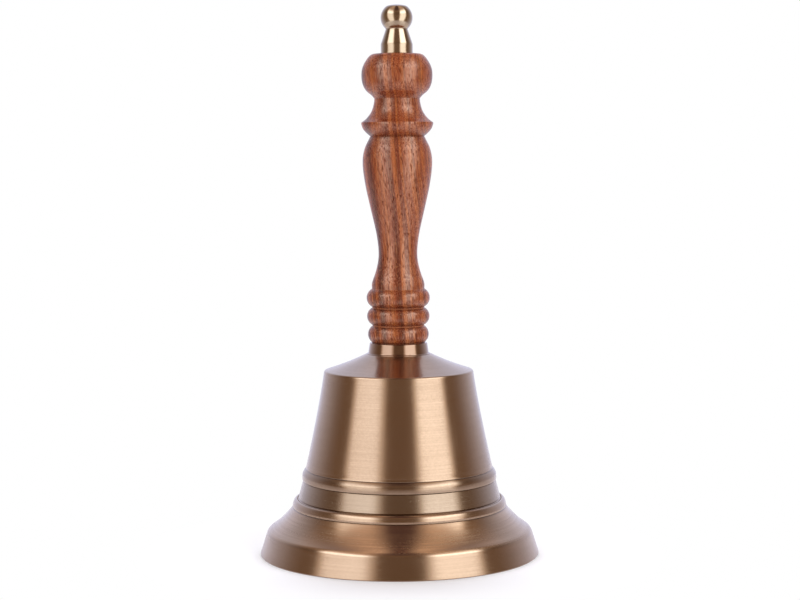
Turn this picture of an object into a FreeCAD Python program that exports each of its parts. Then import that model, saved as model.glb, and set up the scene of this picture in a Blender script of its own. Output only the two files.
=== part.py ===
# Hand bell with a turned wooden handle: a flared brass bell shell, a brass ferrule, a turned
# hardwood handle and a brass finial, all clamped on one long M6 through bolt, with a clapper
# that hangs inside on a swivelling yoke.
#
# Frame: millimetres, +Z up along the turning axis, origin at the centre of the mouth plane, so
# the bell stands on z = 0.  The yoke pin lies along Y.
import FreeCAD
import Part
import math
import os

V = FreeCAD.Vector

# ---------------------------------------------------------------- driving dimensions (mm)
# bell shell, outside
MOUTH_R = 65.1              # largest radius, at the lip
LIP_ROUND = 0.6             # outer corner of the lip
KNEE = (61.72, 11.26)       # corner between the flare and the rim face, before rounding
KNEE_ROUND = 4.15
FLARE_DIR = (0.832, -0.555) # the flare's direction where it runs into the knee
RIM_DIR = (0.2853, -0.958)  # the rim face's direction, going down
FLARE_TOP = (50.02, 22.05)
FLARE_MID = (55.02, 16.47)
BEAD2_TOP = (47.42, 25.95)
BEAD2_MID = (48.96, 25.65)
BEAD2_OUT = (49.96, 23.28)
BEAD2_SIDE = (49.95, 22.865)
BEAD2_LOW = (49.88, 22.45)
BAND_LOW = (47.14, 26.65)
BAND_TOP = (45.08, 34.56)
BEAD1_LOW = (45.36, 35.02)
BEAD1_SIDE = (45.44, 36.11)
BEAD1_OUT = (45.37, 37.50)
BEAD1_MID = (44.86, 38.68)
BEAD1_TOP = (43.93, 39.94)
CUT1_TOP = (43.64, 40.06)
COVE_LOW = (43.70, 40.30)
COVE_MID = (43.46, 41.00)   # small hollow that eases the flank into the upper bead
FLANK_LOW = (43.33, 41.75)
FLANK_MID = (38.06, 66.53)
FLANK_TOP = (34.878, 85.081)
SHOULDER_MID = (34.60, 85.681)
SHOULDER_IN = (34.045, 86.041)
CROWN_MID = (24.44, 89.44)
CROWN_IN_R = 15.05
SEAT_Z = 93.6               # flat on top of the crown that the ferrule stands on
CUT1_LOW = (44.86, 34.82)      # bottoms of the fine tool cuts that set off the two beads
CUT2_TOP = (46.95, 26.22)
CUT2_LOW = (49.78, 22.24)
# bell shell, inside
LIP_IN_R = 61.3
INNER = {
    "lip": (60.9, 0.9), "bow_a": (59.0, 6.3), "bow_b": (56.2, 10.6),
    "flare_mid": (51.4, 15.4), "flare_top": (46.3, 22.0),
    "band_mid": (43.9, 28.2), "band_top": (42.1, 35.0),
    "flank_mid": (35.2, 65.0), "flank_top": (32.35, 80.2),
    "corner_mid": (31.0, 82.9), "corner_in": (28.2, 84.3),
    "crown_mid": (20.8, 86.45), "crown_in": (13.6, 89.4),
}
CROWN_IN_Z = 89.4           # flat inside the crown that the clamp stack bears on
BOLT_HOLE_R = 3.4
# ferrule
FERRULE_TOP_Z = 98.8
FERRULE_TOP_R = 13.35
FERRULE_LOW_R = 13.98
FERRULE_FOOT_R = 14.75
SPIGOT_R = 9.5
SPIGOT_DEPTH = 3.2
# handle
HANDLE_TOP_Z = 232.35
HANDLE_BORE_R = 3.4
# finial
FINIAL_TOP_Z = 255.05
FINIAL_R = 7.4
FINIAL_HOLE_TOP_Z = 247.0
# M6 through bolt, head down inside the bell
BOLT_R = 3.0
BOLT_HEAD_R = 5.25
BOLT_HEAD_LOW_Z = 73.4
BOLT_HEAD_TOP_Z = 76.6
BOLT_TOP_Z = 245.5
# clamp stack under the crown, from the crown down
GASKET_T, GASKET_R = 1.6, 11.0
WASHER_T, WASHER_R = 1.6, 9.0
SPRING_T, SPRING_R = 1.6, 5.9
NUT_H, NUT_AF = 5.0, 10.0
THRUST_T, THRUST_R = 0.8, 5.25
# yoke and clapper
SWIVEL_CLEARANCE_R = 0.08
YOKE_W, YOKE_T, YOKE_GAP = 10.0, 2.0, 12.5
YOKE_TOP_Z = 79.4
PIVOT_Z = 67.5
PIN_R, PIN_CLEARANCE_R = 2.0, 0.07
PIN_HEAD_R, PIN_HEAD_T = 3.4, 1.4
BARREL_R, BARREL_L = 4.0, 12.0
SHANK_R = 2.5
BALL_R, BALL_Z = 12.5, 17.5
BALL_FLAT_R = 4.6
JAM_H, JAM_AF = 3.2, 8.0
SHANK_LOW_Z = 20.0

OUT = "parts"
os.makedirs(OUT, exist_ok=True)


# ---------------------------------------------------------------- helpers
def p(rz):
    return V(rz[0], 0.0, rz[1])


def path(items):
    """Edges through items: a pair is a point reached by a line, ("arc", mid, end) is an arc,
    ("curve", mid, end) is a parabola whose halfway point is mid, and ("spline", [points]) is a
    smooth curve."""
    edges, at = [], None
    for it in items:
        if at is None:
            at = it
            continue
        if it[0] == "arc":
            edges.append(Part.Arc(p(at), p(it[1]), p(it[2])).toShape())
            at = it[2]
        elif it[0] == "curve":
            c = Part.BezierCurve()
            pull = (2 * it[1][0] - (at[0] + it[2][0]) / 2, 2 * it[1][1] - (at[1] + it[2][1]) / 2)
            c.setPoles([p(at), p(pull), p(it[2])])
            edges.append(c.toBSpline().toShape())
            at = it[2]
        elif it[0] == "spline":
            c = Part.BSplineCurve()
            c.interpolate([p(at)] + [p(q) for q in it[1]])
            edges.append(c.toShape())
            at = it[1][-1]
        else:
            edges.append(Part.LineSegment(p(at), p(it)).toShape())
            at = it
    return edges


def turned(items):
    """The solid of revolution about Z of a closed half section in the XZ plane."""
    edges = path(list(items) + [items[0]])
    face = Part.Face(Part.Wire(Part.__sortEdges__(edges)))
    solid = face.revolve(V(0, 0, 0), V(0, 0, 1), 360)
    solid = Part.Solid(solid.Shells[0]) if solid.ShapeType != "Solid" else solid
    if solid.Volume < 0:
        solid.reverse()
    return solid


def ring(r_out, r_in, z0, z1):
    return Part.makeCylinder(r_out, z1 - z0, V(0, 0, z0)).cut(
        Part.makeCylinder(r_in, z1 - z0 + 2, V(0, 0, z0 - 1)))


def hexagon(af, z0, h, turn=0.0):
    r = af / math.sqrt(3.0)
    pts = [V(r * math.cos(math.radians(60 * k + turn)), r * math.sin(math.radians(60 * k + turn)), z0)
           for k in range(6)]
    return Part.Face(Part.makePolygon(pts + [pts[0]])).extrude(V(0, 0, h))


def hex_nut(af, z0, h, bore_r, turn=0.0):
    """A hexagon nut with both faces chamfered at 30 degrees and a countersunk bore."""
    e = af / math.sqrt(3.0)
    c = 0.55 * (e - af / 2) * 1.0
    blank = turned([(0, z0), (af / 2 * 0.97, z0), (e + 0.02, z0 + c), (e + 0.02, z0 + h - c),
                    (af / 2 * 0.97, z0 + h), (0, z0 + h)])
    nut = hexagon(af, z0, h, turn).common(blank)
    nut = nut.cut(Part.makeCylinder(bore_r, h + 2, V(0, 0, z0 - 1)))
    for zc, d in ((z0, 1), (z0 + h, -1)):
        cone = Part.makeCone(bore_r + 0.4, bore_r, 0.4, V(0, 0, zc), V(0, 0, d))
        nut = nut.cut(cone)
    return nut


def save(shape, name):
    solids = shape.Solids
    assert solids, name
    shape = solids[0] if len(solids) == 1 else Part.makeCompound(solids)
    assert shape.isValid(), name
    shape.exportStep(os.path.join(OUT, name + ".step"))
    b = shape.BoundBox
    print("%-20s solids %d  volume %.1f mm3  z %.2f..%.2f  r %.2f" % (
        name, len(solids), shape.Volume, b.ZMin, b.ZMax, b.XMax))
    return shape


# ---------------------------------------------------------------- bell shell
half_turn = math.acos(FLARE_DIR[0] * RIM_DIR[0] + FLARE_DIR[1] * RIM_DIR[1]) / 2
setback = KNEE_ROUND * math.tan(half_turn)
inset = KNEE_ROUND * (1 / math.cos(half_turn) - 1)
pull_in = V(RIM_DIR[0] - FLARE_DIR[0], 0, RIM_DIR[1] - FLARE_DIR[1]).normalize()
knee_start = (KNEE[0] - FLARE_DIR[0] * setback, KNEE[1] - FLARE_DIR[1] * setback)
knee_mid = (KNEE[0] + pull_in.x * inset, KNEE[1] + pull_in.z * inset)
rim_top = (KNEE[0] + RIM_DIR[0] * setback, KNEE[1] + RIM_DIR[1] * setback)
rim_low = (MOUTH_R - 0.02, 0.55)
outer = [
    (BOLT_HOLE_R, SEAT_Z),
    (CROWN_IN_R, SEAT_Z),
    ("curve", CROWN_MID, SHOULDER_IN),
    ("arc", SHOULDER_MID, FLANK_TOP),
    ("curve", FLANK_MID, FLANK_LOW),
    ("curve", COVE_MID, COVE_LOW),
    CUT1_TOP,
    BEAD1_TOP,
    ("curve", BEAD1_MID, BEAD1_OUT),
    ("curve", BEAD1_SIDE, BEAD1_LOW),
    CUT1_LOW,
    BAND_TOP,
    BAND_LOW,
    CUT2_TOP,
    BEAD2_TOP,
    ("curve", BEAD2_MID, BEAD2_OUT),
    ("curve", BEAD2_SIDE, BEAD2_LOW),
    CUT2_LOW,
    FLARE_TOP,
    ("curve", FLARE_MID, knee_start),
    ("arc", knee_mid, rim_top),
    rim_low,
    ("arc", (MOUTH_R - 0.19, 0.14), (MOUTH_R - LIP_ROUND, 0.0)),
    (LIP_IN_R + 0.5, 0.0),
    ("arc", (LIP_IN_R + 0.08, 0.2), INNER["lip"]),
    ("curve", INNER["bow_a"], INNER["bow_b"]),
    ("curve", INNER["flare_mid"], INNER["flare_top"]),
    ("curve", INNER["band_mid"], INNER["band_top"]),
    ("curve", INNER["flank_mid"], INNER["flank_top"]),
    ("curve", INNER["corner_mid"], INNER["corner_in"]),
    ("curve", INNER["crown_mid"], INNER["crown_in"]),
    (BOLT_HOLE_R, CROWN_IN_Z),
]
bell_shell = turned(outer)

# ---------------------------------------------------------------- ferrule
counterbore_z = FERRULE_TOP_Z - SPIGOT_DEPTH - 0.2
ferrule = turned([
    (BOLT_HOLE_R, SEAT_Z),
    (FERRULE_FOOT_R, SEAT_Z),
    (FERRULE_FOOT_R, SEAT_Z + 0.22),
    ("arc", (FERRULE_LOW_R + 0.22, SEAT_Z + 0.46), (FERRULE_LOW_R, SEAT_Z + 1.15)),
    (FERRULE_TOP_R + 0.11, FERRULE_TOP_Z - 0.60),
    ("arc", (FERRULE_TOP_R - 0.03, FERRULE_TOP_Z - 0.17), (FERRULE_TOP_R - 0.37, FERRULE_TOP_Z)),
    (SPIGOT_R + 0.05, FERRULE_TOP_Z),
    (SPIGOT_R + 0.05, counterbore_z),
    (BOLT_HOLE_R, counterbore_z),
])

# ---------------------------------------------------------------- handle
# Turned in one piece: a foot with three beads, a waisted grip, a collar and a bun-shaped knob.
handle = turned([
    (HANDLE_BORE_R, FERRULE_TOP_Z - SPIGOT_DEPTH),
    (SPIGOT_R, FERRULE_TOP_Z - SPIGOT_DEPTH),
    (SPIGOT_R, FERRULE_TOP_Z),
    (12.35, FERRULE_TOP_Z),
    (12.45, 99.15),
    ("arc", (14.12, 102.9), (12.15, 106.65)),        # third bead
    (11.95, 106.95),
    (12.2, 107.25),
    ("arc", (14.52, 111.05), (12.25, 115.05)),       # second bead
    (12.05, 115.35),
    (12.3, 115.65),
    ("arc", (14.68, 119.75), (12.45, 123.75)),       # first bead
    (12.2, 124.05),
    (12.24, 125.0),
    ("spline", [(12.27, 125.7), (11.93, 127.35), (11.42, 128.9), (10.92, 130.2), (10.42, 131.75),
                (9.72, 134.35), (9.22, 136.9), (8.98, 140.0), (9.10, 143.2), (9.45, 146.3),
                (9.98, 149.75), (10.85, 153.9), (11.84, 158.1), (13.10, 163.6), (14.36, 169.2),
                (15.24, 174.0), (15.80, 177.9), (16.10, 181.6), (16.06, 184.3), (15.60, 187.25),
                (14.72, 190.1), (13.42, 192.7), (12.75, 194.1)]),
    (12.45, 194.55),
    ("spline", [(13.50, 195.45), (15.05, 196.95), (16.05, 198.4), (16.52, 199.75)]),   # under side of the collar
    (16.68, 200.3),
    (16.62, 200.95),
    ("spline", [(14.55, 202.45), (13.30, 203.85), (12.33, 205.2), (11.15, 208.0), (10.60, 210.5)]),   # cove
    (10.50, 211.9),
    ("spline", [(11.85, 213.5), (13.55, 214.85), (14.74, 216.2), (15.98, 219.0), (16.41, 222.3),
                (16.00, 225.9), (14.80, 228.6), (13.05, 231.05), (12.10, 231.9), (11.15, HANDLE_TOP_Z)]),   # knob
    (HANDLE_BORE_R, HANDLE_TOP_Z),
])

# ---------------------------------------------------------------- finial
# Flattened cap: a spherical dome centred on the axis.
CAP_EDGE_R, CAP_EDGE_Z = 3.75, 254.6
CAP_RISE = FINIAL_TOP_Z - CAP_EDGE_Z
CAP_R = (CAP_EDGE_R ** 2 + CAP_RISE ** 2) / (2 * CAP_RISE)
finial = turned([
    (BOLT_R, HANDLE_TOP_Z),
    (7.35, HANDLE_TOP_Z),
    (7.48, HANDLE_TOP_Z + 0.3),
    (7.40, HANDLE_TOP_Z + 0.9),
    (7.40, 236.3),
    ("arc", (7.34, 236.95), (7.15, 237.6)),
    (5.24, 243.25),
    ("arc", (5.13, 243.75), (5.26, 244.05)),
    ("arc", (FINIAL_R, 248.95), (5.72, 253.35)),
    ("arc", (4.85, 254.17), (CAP_EDGE_R, CAP_EDGE_Z)),
    ("arc", (1.9, FINIAL_TOP_Z - CAP_R + math.sqrt(CAP_R ** 2 - 1.9 ** 2)), (0.0, FINIAL_TOP_Z)),
    (0.0, FINIAL_HOLE_TOP_Z + 1.2),
    (BOLT_R, FINIAL_HOLE_TOP_Z),
])

# ---------------------------------------------------------------- through bolt
through_bolt = turned([
    (0.0, BOLT_HEAD_LOW_Z),
    (BOLT_HEAD_R - 1.3, BOLT_HEAD_LOW_Z),
    ("arc", (BOLT_HEAD_R - 0.32, BOLT_HEAD_LOW_Z + 0.42), (BOLT_HEAD_R, BOLT_HEAD_LOW_Z + 1.3)),
    (BOLT_HEAD_R, BOLT_HEAD_TOP_Z),
    (BOLT_R, BOLT_HEAD_TOP_Z),
    (BOLT_R, BOLT_TOP_Z - 0.7),
    (BOLT_R - 0.7, BOLT_TOP_Z),
    (0.0, BOLT_TOP_Z),
])
slot = Part.makeBox(1.2, 12.0, 1.3, V(-0.6, -6.0, BOLT_HEAD_LOW_Z - 0.1))
through_bolt = through_bolt.cut(slot)

# ---------------------------------------------------------------- clamp stack under the crown
z = CROWN_IN_Z
crown_gasket = ring(GASKET_R, BOLT_R + 0.2, z - GASKET_T, z)
z -= GASKET_T
flat_washer = ring(WASHER_R, BOLT_R + 0.2, z - WASHER_T, z)
z -= WASHER_T
spring_washer = ring(SPRING_R, BOLT_R + 0.05, z - SPRING_T, z)
gap = Part.makeBox(4.0, 0.9, 6.0, V(2.6, -0.45, -3.0))
gap.rotate(V(0, 0, 0), V(1, 0, 0), 24)
gap.translate(V(0, 0, z - SPRING_T / 2))
spring_washer = spring_washer.cut(gap)
z -= SPRING_T
crown_nut = hex_nut(NUT_AF, z - NUT_H, NUT_H, BOLT_R, 0.0)
thrust_washer = ring(THRUST_R, BOLT_R + 0.1, BOLT_HEAD_TOP_Z, BOLT_HEAD_TOP_Z + THRUST_T)

# ---------------------------------------------------------------- yoke: a bent strip
half = YOKE_GAP / 2 + YOKE_T
bend = 2.2
arm_low = PIVOT_Z
# the strip's side view in the YZ plane, extruded along X
def yz(y, zz):
    return V(-YOKE_W / 2, y, zz)


k = math.sqrt(0.5)
ro, ri = bend, bend - YOKE_T if bend > YOKE_T else 0.2
yt = YOKE_TOP_Z
ri = 0.3
ys = half
oc = (ys - ro, yt - ro)
ic = (ys - YOKE_T - ri, yt - YOKE_T - ri)
edges = [
    Part.LineSegment(yz(-ys, arm_low), yz(-ys, yt - ro)).toShape(),
    Part.Arc(yz(-ys, yt - ro), yz(-(oc[0] + ro * k), oc[1] + ro * k), yz(-(ys - ro), yt)).toShape(),
    Part.LineSegment(yz(-(ys - ro), yt), yz(ys - ro, yt)).toShape(),
    Part.Arc(yz(ys - ro, yt), yz(oc[0] + ro * k, oc[1] + ro * k), yz(ys, yt - ro)).toShape(),
    Part.LineSegment(yz(ys, yt - ro), yz(ys, arm_low)).toShape(),
    Part.LineSegment(yz(ys, arm_low), yz(ys - YOKE_T, arm_low)).toShape(),
    Part.LineSegment(yz(ys - YOKE_T, arm_low), yz(ys - YOKE_T, ic[1])).toShape(),
    Part.Arc(yz(ys - YOKE_T, ic[1]), yz(ic[0] + ri * k, ic[1] + ri * k), yz(ic[0], yt - YOKE_T)).toShape(),
    Part.LineSegment(yz(ic[0], yt - YOKE_T), yz(-ic[0], yt - YOKE_T)).toShape(),
    Part.Arc(yz(-ic[0], yt - YOKE_T), yz(-(ic[0] + ri * k), ic[1] + ri * k), yz(-(ys - YOKE_T), ic[1])).toShape(),
    Part.LineSegment(yz(-(ys - YOKE_T), ic[1]), yz(-(ys - YOKE_T), arm_low)).toShape(),
    Part.LineSegment(yz(-(ys - YOKE_T), arm_low), yz(-ys, arm_low)).toShape(),
]
yoke = Part.Face(Part.Wire(edges)).extrude(V(YOKE_W, 0, 0))
# rounded arm ends about the pivot
for s in (-1, 1):
    y0 = s * (YOKE_GAP / 2 + YOKE_T / 2) - YOKE_T / 2
    ear = Part.makeCylinder(YOKE_W / 2, YOKE_T, V(0, y0, PIVOT_Z), V(0, 1, 0))
    yoke = yoke.fuse(ear)
yoke = yoke.removeSplitter()
yoke = yoke.cut(Part.makeCylinder(PIN_R, 40, V(0, -20, PIVOT_Z), V(0, 1, 0)))
yoke = yoke.cut(Part.makeCylinder(BOLT_R + SWIVEL_CLEARANCE_R, 10, V(0, 0, YOKE_TOP_Z - 5)))
clapper_yoke = yoke

# ---------------------------------------------------------------- yoke pin and its retaining ring
y_face = YOKE_GAP / 2 + YOKE_T
pin = Part.makeCylinder(PIN_R, 2 * y_face + 1.9, V(0, -y_face, PIVOT_Z), V(0, 1, 0))
head = Part.makeCylinder(PIN_HEAD_R, PIN_HEAD_T, V(0, -y_face - PIN_HEAD_T, PIVOT_Z), V(0, 1, 0))
pin = pin.fuse(head).removeSplitter()
groove = Part.makeCylinder(PIN_R + 1, 0.7, V(0, y_face + 0.1, PIVOT_Z), V(0, 1, 0)).cut(
    Part.makeCylinder(PIN_R - 0.5, 0.7, V(0, y_face + 0.1, PIVOT_Z), V(0, 1, 0)))
pin = pin.cut(groove)
rim_edges = [e for e in pin.Edges if abs(e.CenterOfMass.y + y_face + PIN_HEAD_T) < 1e-6 and e.Length > 10]
pin = pin.makeFillet(0.5, rim_edges)
tip_edges = [e for e in pin.Edges if abs(e.CenterOfMass.y - (y_face + 1.9)) < 1e-6 and e.Length > 5]
yoke_pin = pin.makeChamfer(0.35, tip_edges)
clip = Part.makeCylinder(3.6, 0.6, V(0, y_face + 0.15, PIVOT_Z), V(0, 1, 0)).cut(
    Part.makeCylinder(PIN_R - 0.5, 2, V(0, y_face - 0.5, PIVOT_Z), V(0, 1, 0)))
clip = clip.cut(Part.makeBox(2.2, 2, 6, V(-1.1, y_face - 0.5, PIVOT_Z - 6)))
for a in (90, -90):
    n = Part.makeCylinder(0.75, 2, V(2.3 * math.sin(math.radians(a)), y_face - 0.5,
                                     PIVOT_Z + 2.3 * math.cos(math.radians(a))), V(0, 1, 0))
    clip = clip.cut(n)
pin_retaining_ring = clip

# ---------------------------------------------------------------- clapper
barrel = Part.makeCylinder(BARREL_R, BARREL_L, V(0, -BARREL_L / 2, PIVOT_Z), V(0, 1, 0))
barrel = barrel.makeChamfer(0.4, [e for e in barrel.Edges if e.Length > 20 and e.Curve.TypeId == "Part::GeomCircle"])
stem = turned([
    (0.0, SHANK_LOW_Z), (SHANK_R - 0.5, SHANK_LOW_Z), (SHANK_R, SHANK_LOW_Z + 0.5),
    (SHANK_R, 60.0), ("arc", (SHANK_R + 0.28, 61.9), (SHANK_R + 1.15, 63.6)), (SHANK_R + 1.15, 65.5), (0.0, 65.5),
])
shank = barrel.fuse(stem).removeSplitter()
clapper_shank = shank.cut(Part.makeCylinder(PIN_R + PIN_CLEARANCE_R, 30, V(0, -15, PIVOT_Z), V(0, 1, 0)))

flat_h = math.sqrt(BALL_R ** 2 - BALL_FLAT_R ** 2)
clapper_ball = turned([
    (0.0, BALL_Z - BALL_R),
    ("arc", (BALL_R, BALL_Z), (BALL_FLAT_R, BALL_Z + flat_h)),
    (SHANK_R, BALL_Z + flat_h),
    (SHANK_R, SHANK_LOW_Z - 0.4),
    (0.0, SHANK_LOW_Z - 1.6),
])
clapper_jam_nut = hex_nut(JAM_AF, BALL_Z + flat_h, JAM_H, SHANK_R, 30.0)

# ---------------------------------------------------------------- write
for shape, name in (
    (bell_shell, "bell_shell"), (ferrule, "ferrule"), (handle, "handle"), (finial, "finial"),
    (through_bolt, "through_bolt"), (crown_gasket, "crown_gasket"), (flat_washer, "flat_washer"),
    (spring_washer, "spring_washer"), (crown_nut, "crown_nut"), (thrust_washer, "thrust_washer"),
    (clapper_yoke, "clapper_yoke"), (yoke_pin, "yoke_pin"), (pin_retaining_ring, "pin_retaining_ring"),
    (clapper_shank, "clapper_shank"), (clapper_jam_nut, "clapper_jam_nut"), (clapper_ball, "clapper_ball"),
):
    save(shape, name)
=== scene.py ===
import bpy
import bmesh
import math
from mathutils import Vector, Matrix, noise


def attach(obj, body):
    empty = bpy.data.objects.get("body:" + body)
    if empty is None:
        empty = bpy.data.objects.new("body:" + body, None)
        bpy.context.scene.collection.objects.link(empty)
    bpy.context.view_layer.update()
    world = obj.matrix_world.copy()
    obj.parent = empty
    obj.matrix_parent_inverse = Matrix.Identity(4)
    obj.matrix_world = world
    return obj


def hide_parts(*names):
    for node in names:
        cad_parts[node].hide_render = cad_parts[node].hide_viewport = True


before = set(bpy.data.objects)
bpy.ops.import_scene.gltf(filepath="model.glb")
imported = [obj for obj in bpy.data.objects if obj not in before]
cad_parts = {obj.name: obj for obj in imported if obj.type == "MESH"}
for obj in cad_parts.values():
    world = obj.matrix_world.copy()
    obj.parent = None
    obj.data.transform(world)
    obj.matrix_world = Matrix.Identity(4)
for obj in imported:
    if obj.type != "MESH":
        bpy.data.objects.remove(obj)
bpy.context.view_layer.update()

MM = 0.001

# ------------------------------------------------------------------ profile tools (mm, as r and z)


def curve(a, m, b, n):
    """A parabola from a to b whose halfway point is m."""
    c = (2 * m[0] - (a[0] + b[0]) / 2, 2 * m[1] - (a[1] + b[1]) / 2)
    out = []
    for i in range(1, n + 1):
        t = i / n
        out.append(tuple((1 - t) ** 2 * a[k] + 2 * t * (1 - t) * c[k] + t * t * b[k] for k in (0, 1)))
    return out


def arc(a, m, b, n):
    """A circular arc from a through m to b."""
    ax, ay, bx, by, cx, cy = a[0], a[1], m[0], m[1], b[0], b[1]
    d = 2 * (ax * (by - cy) + bx * (cy - ay) + cx * (ay - by))
    ux = ((ax * ax + ay * ay) * (by - cy) + (bx * bx + by * by) * (cy - ay) + (cx * cx + cy * cy) * (ay - by)) / d
    uy = ((ax * ax + ay * ay) * (cx - bx) + (bx * bx + by * by) * (ax - cx) + (cx * cx + cy * cy) * (bx - ax)) / d
    r = math.hypot(ax - ux, ay - uy)
    a0, am, a1 = (math.atan2(q[1] - uy, q[0] - ux) for q in (a, m, b))
    full = 2 * math.pi
    sweep, part = (a1 - a0) % full, (am - a0) % full
    if part > sweep:
        sweep -= full
    return [(ux + r * math.cos(a0 + sweep * i / n), uy + r * math.sin(a0 + sweep * i / n)) for i in range(1, n + 1)]


def spline(a, pts, per):
    """A natural cubic spline through a and pts, parametrised by chord length."""
    P = [a] + list(pts)
    n = len(P) - 1
    h = [math.hypot(P[i + 1][0] - P[i][0], P[i + 1][1] - P[i][1]) for i in range(n)]
    M = []
    for k in (0, 1):
        y = [q[k] for q in P]
        al = [0.0] * (n + 1)
        for i in range(1, n):
            al[i] = 3 * ((y[i + 1] - y[i]) / h[i] - (y[i] - y[i - 1]) / h[i - 1])
        l, mu, zz = [1.0] * (n + 1), [0.0] * (n + 1), [0.0] * (n + 1)
        for i in range(1, n):
            l[i] = 2 * (h[i - 1] + h[i]) - h[i - 1] * mu[i - 1]
            mu[i] = h[i] / l[i]
            zz[i] = (al[i] - h[i - 1] * zz[i - 1]) / l[i]
        c = [0.0] * (n + 1)
        for i in range(n - 1, -1, -1):
            c[i] = zz[i] - mu[i] * c[i + 1]
        M.append((y, c))
    out = []
    for i in range(n):
        for j in range(1, per + 1):
            t = h[i] * j / per
            q = []
            for k in (0, 1):
                y, c = M[k]
                b = (y[i + 1] - y[i]) / h[i] - h[i] * (2 * c[i] + c[i + 1]) / 3
                d = (c[i + 1] - c[i]) / (3 * h[i])
                q.append(y[i] + b * t + c[i] * t * t + d * t ** 3)
            out.append(tuple(q))
    return out


def profile(items, fine=1.0):
    """Items as in the part: a pair is a point, and (kind, ...) is a curve to its last point."""
    at, out = items[0], [items[0]]
    for it in items[1:]:
        if it[0] == "arc":
            out += arc(at, it[1], it[2], max(2, int(it[3] * fine)))
            at = it[2]
        elif it[0] == "curve":
            out += curve(at, it[1], it[2], max(2, int(it[3] * fine)))
            at = it[2]
        elif it[0] == "spline":
            out += spline(at, it[1], it[2])
            at = it[1][-1]
        else:
            run = math.hypot(it[0] - at[0], it[1] - at[1])
            if run > 1.2:
                # loops close to both ends keep the shading of a straight run flat
                for t in (0.12 / run, 1 - 0.12 / run):
                    out.append((at[0] + (it[0] - at[0]) * t, at[1] + (it[1] - at[1]) * t))
            out.append(it)
            at = it
    return out


def lathe(name, pts, segments=256, closed=True, sharp_deg=28.0, wobble=None):
    """Turns a half section about Z into a closed mesh with a UV map (u round, v along)."""
    P = [pts[0]]
    for q in pts[1:]:
        if math.hypot(q[0] - P[-1][0], q[1] - P[-1][1]) > 1e-4:
            P.append(q)
    if closed and math.hypot(P[0][0] - P[-1][0], P[0][1] - P[-1][1]) < 1e-4:
        P.pop()
    bm = bmesh.new()
    rings = []
    for r, z in P:
        if r < 1e-6:
            rings.append([bm.verts.new((0, 0, z * MM))])
            continue
        ring = []
        for s in range(segments):
            a = 2 * math.pi * s / segments
            rr = r + (wobble(a, r, z) if wobble else 0.0)
            ring.append(bm.verts.new((rr * math.cos(a) * MM, rr * math.sin(a) * MM, z * MM)))
        rings.append(ring)
    uv = bm.loops.layers.uv.new("UVMap")
    run, length = 0.0, [0.0]
    for i in range(len(P)):
        j = (i + 1) % len(P)
        run += math.hypot(P[j][0] - P[i][0], P[j][1] - P[i][1])
        length.append(run)
    last = len(P) if closed else len(P) - 1
    for i in range(last):
        j = (i + 1) % len(P)
        A, B = rings[i], rings[j]
        v0, v1 = length[i] / run, length[i + 1] / run
        if len(A) == 1 and len(B) == 1:
            continue
        for s in range(segments):
            t = (s + 1) % segments
            u0, u1 = s / segments, (s + 1) / segments
            if len(A) == 1:
                vs, us = [A[0], B[t], B[s]], [((u0 + u1) / 2, v0), (u1, v1), (u0, v1)]
            elif len(B) == 1:
                vs, us = [A[s], A[t], B[0]], [(u0, v0), (u1, v0), ((u0 + u1) / 2, v1)]
            else:
                vs, us = [A[s], A[t], B[t], B[s]], [(u0, v0), (u1, v0), (u1, v1), (u0, v1)]
            f = bm.faces.new(vs)
            f.smooth = True
            for lp, w in zip(f.loops, us):
                lp[uv].uv = w
    bmesh.ops.recalc_face_normals(bm, faces=bm.faces)
    for e in bm.edges:
        if len(e.link_faces) == 2 and e.calc_face_angle(0.0) > math.radians(sharp_deg):
            e.smooth = False
    me = bpy.data.meshes.new(name)
    bm.to_mesh(me)
    bm.free()
    ob = bpy.data.objects.new(name, me)
    bpy.context.scene.collection.objects.link(ob)
    return ob


# ------------------------------------------------------------------ the turned pieces
KNEE, ROUND, DF, DR = (61.72, 11.26), 4.15, (0.832, -0.555), (0.2853, -0.958)
HT = math.acos(DF[0] * DR[0] + DF[1] * DR[1]) / 2
ST, IN = ROUND * math.tan(HT), ROUND * (1 / math.cos(HT) - 1)
PU = Vector((DR[0] - DF[0], DR[1] - DF[1])).normalized()
KN0 = (KNEE[0] - DF[0] * ST, KNEE[1] - DF[1] * ST)
KNM = (KNEE[0] + PU.x * IN, KNEE[1] + PU.y * IN)
KN1 = (KNEE[0] + DR[0] * ST, KNEE[1] + DR[1] * ST)
BELL = [
    (3.4, 93.6), (15.05, 93.6),
    ("curve", (24.44, 89.44), (34.045, 86.041), 18),
    ("arc", (34.60, 85.681), (34.878, 85.081), 12),
    ("curve", (38.06, 66.53), (43.33, 41.75), 30),
    ("curve", (43.46, 41.00), (43.70, 40.30), 8),
    (43.64, 40.06),
    (43.93, 39.94),
    ("curve", (44.86, 38.68), (45.37, 37.50), 12),
    ("curve", (45.44, 36.11), (45.36, 35.02), 6),
    (44.86, 34.82),
    (45.08, 34.56),
    (47.14, 26.65),
    (46.95, 26.22),
    (47.42, 25.95),
    ("curve", (48.96, 25.65), (49.96, 23.28), 14),
    ("curve", (49.95, 22.865), (49.88, 22.45), 3),
    (49.78, 22.24),
    (50.02, 22.05),
    ("curve", (55.02, 16.47), KN0, 14),
    ("arc", KNM, KN1, 12),
    (65.08, 0.55),
    ("arc", (64.91, 0.14), (64.5, 0.0), 10),
    (61.8, 0.0),
    ("arc", (61.38, 0.2), (60.9, 0.9), 9),
    ("curve", (59.0, 6.3), (56.2, 10.6), 10),
    ("curve", (51.4, 15.4), (46.3, 22.0), 12),
    ("curve", (43.9, 28.2), (42.1, 35.0), 8),
    ("curve", (35.2, 65.0), (32.35, 80.2), 22),
    ("curve", (31.0, 82.9), (28.2, 84.3), 8),
    ("curve", (20.8, 86.45), (13.6, 89.4), 10),
    (3.4, 89.4),
]
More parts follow.
